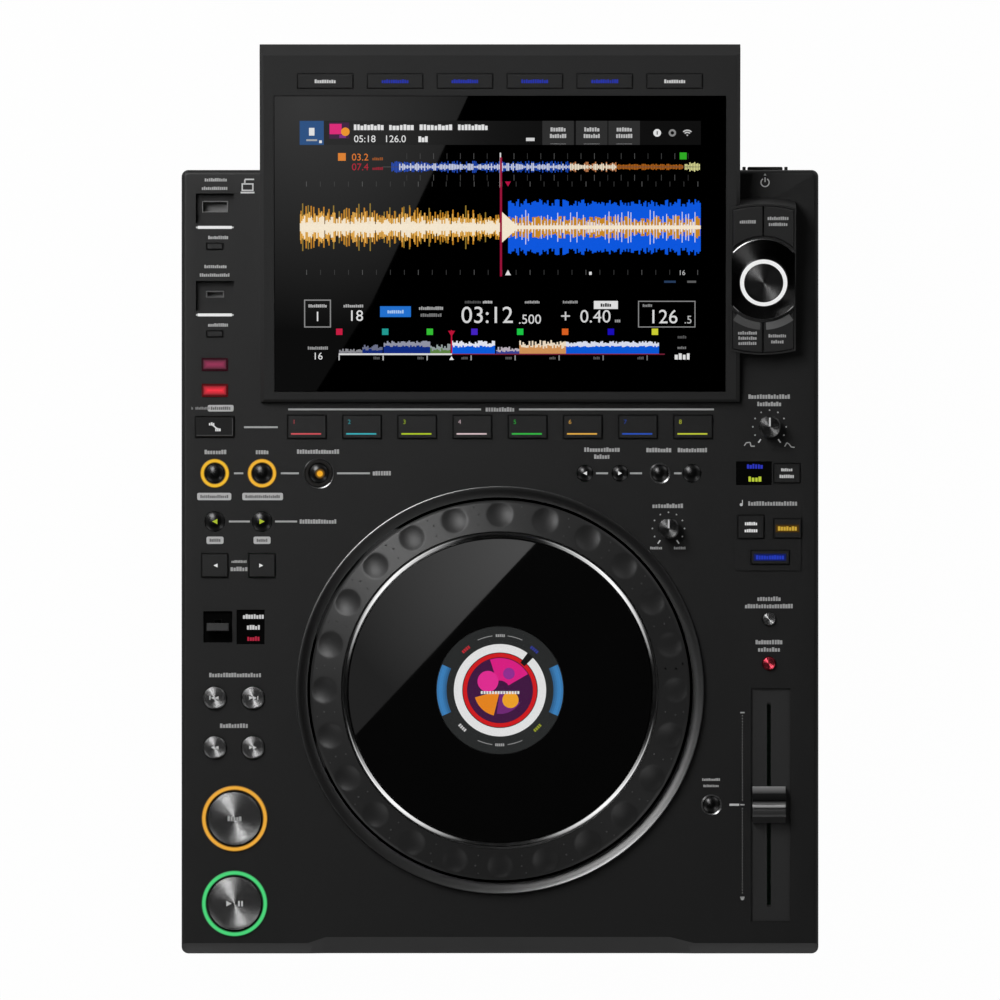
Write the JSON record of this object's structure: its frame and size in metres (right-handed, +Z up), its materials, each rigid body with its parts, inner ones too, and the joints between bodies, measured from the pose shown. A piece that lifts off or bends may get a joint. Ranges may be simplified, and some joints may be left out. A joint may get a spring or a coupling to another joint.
{
  "type": "tabletop dj player",
  "caption": "Flat black deck with a dimpled jog wheel, a tilted screen that overhangs the back, pads and keys that press, knobs, a lever and a sliding tempo fader.",
  "frame": {"origin": "on the table, under the middle of the whole outline", "axes": "+X to the right of the user, +Y to the back under the screen, +Z up"},
  "size_m": [0.329, 0.469, 0.1188],
  "materials": {
    "deck": "satin moulded black",
    "pan": "black painted sheet steel",
    "foot": "matt rubber",
    "screen": "polished touch glass",
    "gloss": "polished black",
    "wheel": "satin dark grey with a bright trim ring",
    "hub": "plain moulded",
    "light": "lit translucent rings",
    "socket": "plated sockets",
    "board": "circuit boards",
    "metal": "spun metal",
    "key": "satin key caps"
  },
  "bodies": {
    "console": {"top_cover": "deck", "base_pan": "pan", "rubber_feet": "foot", "display_housing": "deck", "display_glass": "screen", "jog_bezel": "gloss", "jog_hub": "hub", "light_rings": "light", "io_sockets": "socket", "electronics": "board"},
    "jog_wheel": {"jog_ring": "wheel", "jog_plate": "gloss"},
    "usb_stop_1_body": {"usb_stop_1": "key"},
    "usb_stop_2_body": {"usb_stop_2": "key"},
    "quantize_button_body": {"quantize_button": "key"},
    "slip_button_body": {"slip_button": "key"},
    "call_delete_key_body": {"call_delete_key": "key"},
    "loop_in_button_body": {"loop_in_button": "key"},
    "loop_out_button_body": {"loop_out_button": "key"},
    "reloop_button_body": {"reloop_button": "key"},
    "delete_button_body": {"delete_button": "key"},
    "memory_button_body": {"memory_button": "key"},
    "jog_mode_key_body": {"jog_mode_key": "key"},
    "beat_sync_key_body": {"beat_sync_key": "key"},
    "master_key_body": {"master_key": "key"},
    "key_sync_key_body": {"key_sync_key": "key"},
    "tempo_range_button_body": {"tempo_range_button": "key"},
    "master_tempo_button_body": {"master_tempo_button": "key"},
    "tempo_reset_button_body": {"tempo_reset_button": "key"},
    "cue_button_body": {"cue_button": "metal"},
    "play_button_body": {"play_button": "metal"},
    "hot_cue_pad_1_body": {"hot_cue_pad_1": "key"},
    "hot_cue_pad_2_body": {"hot_cue_pad_2": "key"},
    "hot_cue_pad_3_body": {"hot_cue_pad_3": "key"},
    "hot_cue_pad_4_body": {"hot_cue_pad_4": "key"},
    "hot_cue_pad_5_body": {"hot_cue_pad_5": "key"},
    "hot_cue_pad_6_body": {"hot_cue_pad_6": "key"},
    "hot_cue_pad_7_body": {"hot_cue_pad_7": "key"},
    "hot_cue_pad_8_body": {"hot_cue_pad_8": "key"},
    "screen_key_1_body": {"screen_key_1": "key"},
    "screen_key_2_body": {"screen_key_2": "key"},
    "screen_key_3_body": {"screen_key_3": "key"},
    "screen_key_4_body": {"screen_key_4": "key"},
    "screen_key_5_body": {"screen_key_5": "key"},
    "screen_key_6_body": {"screen_key_6": "key"},
    "back_key_body": {"back_key": "key"},
    "tag_key_body": {"tag_key": "key"},
    "filter_key_body": {"filter_key": "key"},
    "shortcut_key_body": {"shortcut_key": "key"},
    "power_button_body": {"power_button": "key"},
    "beat_loop_rocker_body": {"beat_loop_rocker": "key"},
    "beat_jump_rocker_body": {"beat_jump_rocker": "key"},
    "track_search_rocker_body": {"track_search_rocker": "metal"},
    "search_rocker_body": {"search_rocker": "metal"},
    "cue_call_rocker_body": {"cue_call_rocker": "key"},
    "vinyl_speed_knob_body": {"vinyl_speed_knob": "key"},
    "jog_feel_knob_body": {"jog_feel_knob": "key"},
    "selector_knob_body": {"selector_knob": "metal"},
    "direction_lever_body": {"direction_lever": "key"},
    "tempo_slider_cap_body": {"tempo_slider_cap": "key"}
  },
  "joints": [
    {"name": "jog_spin", "type": "hinge", "parent": "console", "child": "jog_wheel", "pos_m": [0, -0.0981, 0.084], "axis": [0, 0, 1], "continuous": true},
    {"name": "usb_stop_1_press", "type": "slide", "parent": "console", "child": "usb_stop_1_body", "axis": [0, 0, -1], "range_m": [0, 0.0005], "stiffness_N_per_m": 300, "springref_m": -0.001},
    {"name": "usb_stop_2_press", "type": "slide", "parent": "console", "child": "usb_stop_2_body", "axis": [0, 0, -1], "range_m": [0, 0.0005], "stiffness_N_per_m": 300, "springref_m": -0.001},
    {"name": "quantize_button_press", "type": "slide", "parent": "console", "child": "quantize_button_body", "axis": [0, 0, -1], "range_m": [0, 0.0005], "stiffness_N_per_m": 300, "springref_m": -0.001},
    {"name": "slip_button_press", "type": "slide", "parent": "console", "child": "slip_button_body", "axis": [0, 0, -1], "range_m": [0, 0.0005], "stiffness_N_per_m": 300, "springref_m": -0.001},
    {"name": "call_delete_key_press", "type": "slide", "parent": "console", "child": "call_delete_key_body", "axis": [0, 0, -1], "range_m": [0, 0.0007], "stiffness_N_per_m": 300, "springref_m": -0.001},
    {"name": "loop_in_button_press", "type": "slide", "parent": "console", "child": "loop_in_button_body", "axis": [0, 0, -1], "range_m": [0, 0.0005], "stiffness_N_per_m": 300, "springref_m": -0.001},
    {"name": "loop_out_button_press", "type": "slide", "parent": "console", "child": "loop_out_button_body", "axis": [0, 0, -1], "range_m": [0, 0.0005], "stiffness_N_per_m": 300, "springref_m": -0.001},
    {"name": "reloop_button_press", "type": "slide", "parent": "console", "child": "reloop_button_body", "axis": [0, 0, -1], "range_m": [0, 0.0005], "stiffness_N_per_m": 300, "springref_m": -0.001},
    {"name": "delete_button_press", "type": "slide", "parent": "console", "child": "delete_button_body", "axis": [0, 0, -1], "range_m": [0, 0.0005], "stiffness_N_per_m": 300, "springref_m": -0.001},
    {"name": "memory_button_press", "type": "slide", "parent": "console", "child": "memory_button_body", "axis": [0, 0, -1], "range_m": [0, 0.0005], "stiffness_N_per_m": 300, "springref_m": -0.001},
    {"name": "jog_mode_key_press", "type": "slide", "parent": "console", "child": "jog_mode_key_body", "axis": [0, 0, -1], "range_m": [0, 0.0005], "stiffness_N_per_m": 300, "springref_m": -0.001},
    {"name": "beat_sync_key_press", "type": "slide", "parent": "console", "child": "beat_sync_key_body", "axis": [0, 0, -1], "range_m": [0, 0.0005], "stiffness_N_per_m": 300, "springref_m": -0.001},
    {"name": "master_key_press", "type": "slide", "parent": "console", "child": "master_key_body", "axis": [0, 0, -1], "range_m": [0, 0.0005], "stiffness_N_per_m": 300, "springref_m": -0.001},
    {"name": "key_sync_key_press", "type": "slide", "parent": "console", "child": "key_sync_key_body", "axis": [0, 0, -1], "range_m": [0, 0.0005], "stiffness_N_per_m": 300, "springref_m": -0.001},
    {"name": "tempo_range_button_press", "type": "slide", "parent": "console", "child": "tempo_range_button_body", "axis": [0, 0, -1], "range_m": [0, 0.0005], "stiffness_N_per_m": 300, "springref_m": -0.001},
    {"name": "master_tempo_button_press", "type": "slide", "parent": "console", "child": "master_tempo_button_body", "axis": [0, 0, -1], "range_m": [0, 0.0005], "stiffness_N_per_m": 300, "springref_m": -0.001},
    {"name": "tempo_reset_button_press", "type": "slide", "parent": "console", "child": "tempo_reset_button_body", "axis": [0, 0, -1], "range_m": [0, 0.0005], "stiffness_N_per_m": 300, "springref_m": -0.001},
    {"name": "cue_button_press", "type": "slide", "parent": "console", "child": "cue_button_body", "axis": [0, 0, -1], "range_m": [0, 0.001], "stiffness_N_per_m": 500, "springref_m": -0.001},
    {"name": "play_button_press", "type": "slide", "parent": "console", "child": "play_button_body", "axis": [0, 0, -1], "range_m": [0, 0.001], "stiffness_N_per_m": 500, "springref_m": -0.001},
    {"name": "hot_cue_pad_1_press", "type": "slide", "parent": "console", "child": "hot_cue_pad_1_body", "axis": [0, 0, -1], "range_m": [0, 0.0007], "stiffness_N_per_m": 300, "springref_m": -0.001},
    {"name": "hot_cue_pad_2_press", "type": "slide", "parent": "console", "child": "hot_cue_pad_2_body", "axis": [0, 0, -1], "range_m": [0, 0.0007], "stiffness_N_per_m": 300, "springref_m": -0.001},
    {"name": "hot_cue_pad_3_press", "type": "slide", "parent": "console", "child": "hot_cue_pad_3_body", "axis": [0, 0, -1], "range_m": [0, 0.0007], "stiffness_N_per_m": 300, "springref_m": -0.001},
    {"name": "hot_cue_pad_4_press", "type": "slide", "parent": "console", "child": "hot_cue_pad_4_body", "axis": [0, 0, -1], "range_m": [0, 0.0007], "stiffness_N_per_m": 300, "springref_m": -0.001},
    {"name": "hot_cue_pad_5_press", "type": "slide", "parent": "console", "child": "hot_cue_pad_5_body", "axis": [0, 0, -1], "range_m": [0, 0.0007], "stiffness_N_per_m": 300, "springref_m": -0.001},
    {"name": "hot_cue_pad_6_press", "type": "slide", "parent": "console", "child": "hot_cue_pad_6_body", "axis": [0, 0, -1], "range_m": [0, 0.0007], "stiffness_N_per_m": 300, "springref_m": -0.001},
    {"name": "hot_cue_pad_7_press", "type": "slide", "parent": "console", "child": "hot_cue_pad_7_body", "axis": [0, 0, -1], "range_m": [0, 0.0007], "stiffness_N_per_m": 300, "springref_m": -0.001},
    {"name": "hot_cue_pad_8_press", "type": "slide", "parent": "console", "child": "hot_cue_pad_8_body", "axis": [0, 0, -1], "range_m": [0, 0.0007], "stiffness_N_per_m": 300, "springref_m": -0.001},
    {"name": "screen_key_1_press", "type": "slide", "parent": "console", "child": "screen_key_1_body", "axis": [0, 0.165, -0.9863], "range_m": [0, 0.0005], "stiffness_N_per_m": 300, "springref_m": -0.001},
    {"name": "screen_key_2_press", "type": "slide", "parent": "console", "child": "screen_key_2_body", "axis": [0, 0.165, -0.9863], "range_m": [0, 0.0005], "stiffness_N_per_m": 300, "springref_m": -0.001},
    {"name": "screen_key_3_press", "type": "slide", "parent": "console", "child": "screen_key_3_body", "axis": [0, 0.165, -0.9863], "range_m": [0, 0.0005], "stiffness_N_per_m": 300, "springref_m": -0.001},
    {"name": "screen_key_4_press", "type": "slide", "parent": "console", "child": "screen_key_4_body", "axis": [0, 0.165, -0.9863], "range_m": [0, 0.0005], "stiffness_N_per_m": 300, "springref_m": -0.001},
    {"name": "screen_key_5_press", "type": "slide", "parent": "console", "child": "screen_key_5_body", "axis": [0, 0.165, -0.9863], "range_m": [0, 0.0005], "stiffness_N_per_m": 300, "springref_m": -0.001},
    {"name": "screen_key_6_press", "type": "slide", "parent": "console", "child": "screen_key_6_body", "axis": [0, 0.165, -0.9863], "range_m": [0, 0.0005], "stiffness_N_per_m": 300, "springref_m": -0.001},
    {"name": "back_key_press", "type": "slide", "parent": "console", "child": "back_key_body", "axis": [0, 0.165, -0.9863], "range_m": [0, 0.0007], "stiffness_N_per_m": 300, "springref_m": -0.001},
    {"name": "tag_key_press", "type": "slide", "parent": "console", "child": "tag_key_body", "axis": [0, 0.165, -0.9863], "range_m": [0, 0.0007], "stiffness_N_per_m": 300, "springref_m": -0.001},
    {"name": "filter_key_press", "type": "slide", "parent": "console", "child": "filter_key_body", "axis": [0, 0.165, -0.9863], "range_m": [0, 0.0007], "stiffness_N_per_m": 300, "springref_m": -0.001},
    {"name": "shortcut_key_press", "type": "slide", "parent": "console", "child": "shortcut_key_body", "axis": [0, 0.165, -0.9863], "range_m": [0, 0.0007], "stiffness_N_per_m": 300, "springref_m": -0.001},
    {"name": "power_button_press", "type": "slide", "parent": "console", "child": "power_button_body", "axis": [0, -1, 0], "range_m": [0, 0.001], "stiffness_N_per_m": 300, "springref_m": -0.001},
    {"name": "beat_loop_rocker_rock", "type": "hinge", "parent": "console", "child": "beat_loop_rocker_body", "pos_m": [-0.1351, -0.0111, 0.07965], "axis": [0, 1, 0], "range_deg": [-3, 3], "stiffness_Nm_per_rad": 0.05},
    {"name": "beat_jump_rocker_rock", "type": "hinge", "parent": "console", "child": "beat_jump_rocker_body", "pos_m": [-0.1351, -0.0338, 0.07965], "axis": [0, 1, 0], "range_deg": [-3, 3], "stiffness_Nm_per_rad": 0.05},
    {"name": "track_search_rocker_rock", "type": "hinge", "parent": "console", "child": "track_search_rocker_body", "pos_m": [-0.13745, -0.10221, 0.07965], "axis": [0, 1, 0], "range_deg": [-3, 3], "stiffness_Nm_per_rad": 0.05},
    {"name": "search_rocker_rock", "type": "hinge", "parent": "console", "child": "search_rocker_body", "pos_m": [-0.13745, -0.12781, 0.07965], "axis": [0, 1, 0], "range_deg": [-3, 3], "stiffness_Nm_per_rad": 0.05},
    {"name": "cue_call_rocker_rock", "type": "hinge", "parent": "console", "child": "cue_call_rocker_body", "pos_m": [0.05295, 0.0138, 0.07965], "axis": [0, 1, 0], "range_deg": [-3, 3], "stiffness_Nm_per_rad": 0.05},
    {"name": "vinyl_speed_knob_turn", "type": "hinge", "parent": "console", "child": "vinyl_speed_knob_body", "pos_m": [0.1392, 0.0378, 0.084], "axis": [0, 0, 1], "range_deg": [-150, 150]},
    {"name": "jog_feel_knob_turn", "type": "hinge", "parent": "console", "child": "jog_feel_knob_body", "pos_m": [0.087, -0.0147, 0.084], "axis": [0, 0, 1], "range_deg": [-150, 150]},
    {"name": "selector_turn", "type": "hinge", "parent": "console", "child": "selector_knob_body", "pos_m": [0.1357, 0.11392, 0.09958], "axis": [0, -0.165, 0.9863], "continuous": true},
    {"name": "direction_lever_tilt", "type": "hinge", "parent": "console", "child": "direction_lever_body", "pos_m": [-0.1457, -0.06561, 0.076], "axis": [1, 0, 0], "range_deg": [-12, 12]},
    {"name": "tempo_slide", "type": "slide", "parent": "console", "child": "tempo_slider_cap_body", "axis": [0, 1, 0], "range_m": [-0.05, 0.05]}
  ]
}
